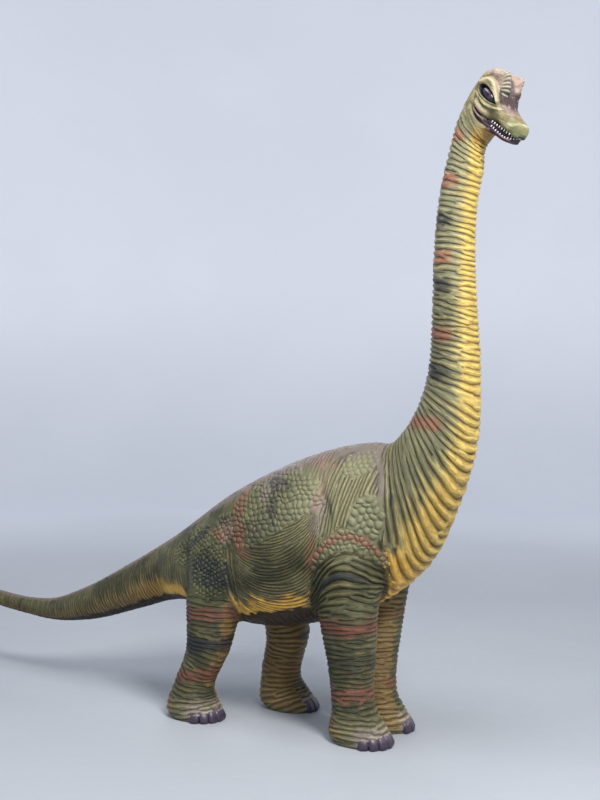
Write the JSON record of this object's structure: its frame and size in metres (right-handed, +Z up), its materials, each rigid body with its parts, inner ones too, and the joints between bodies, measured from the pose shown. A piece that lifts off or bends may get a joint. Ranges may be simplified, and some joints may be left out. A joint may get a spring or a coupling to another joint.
{
  "type": "brachiosaur statue",
  "caption": "Long-necked dinosaur statue in painted resin, standing on its feet, with a long tail and a raised head turned a little to its right.",
  "frame": {"origin": "centre of the floor area under the whole statue, on the floor", "axes": "+X the way the body faces, +Y its left side, +Z up"},
  "size_m": [3.6633, 0.6724, 2.9965],
  "materials": {
    "skin": "satin paint on moulded resin: sage green sides, mauve-brown back, warm yellow throat and belly, rust and blue-black patches",
    "mouth": "dark plum satin paint on lips and inside of the mouth",
    "tooth": "off-white satin paint",
    "eye": "high gloss blue-black",
    "nail": "satin purple-brown paint"
  },
  "bodies": {
    "root": {"head": "skin", "neck_upper": "skin", "neck_middle": "skin", "neck_lower": "skin", "trunk": "skin", "tail_base": "skin", "tail_middle": "skin", "tail_tip": "skin", "leg_front_right": "skin", "leg_front_left": "skin", "leg_hind_right": "skin", "leg_hind_left": "skin", "jaw_lower": "mouth", "eye_right": "eye", "eye_left": "eye", "nail_front_right_1": "nail", "nail_front_right_2": "nail", "nail_front_right_3": "nail", "nail_front_right_4": "nail", "nail_front_right_5": "nail", "nail_front_left_1": "nail", "nail_front_left_2": "nail", "nail_front_left_3": "nail", "nail_front_left_4": "nail", "nail_front_left_5": "nail", "nail_hind_right_1": "nail", "nail_hind_right_2": "nail", "nail_hind_right_3": "nail", "nail_hind_right_4": "nail", "nail_hind_right_5": "nail", "nail_hind_left_1": "nail", "nail_hind_left_2": "nail", "nail_hind_left_3": "nail", "nail_hind_left_4": "nail", "nail_hind_left_5": "nail"}
  },
  "joints": []
}
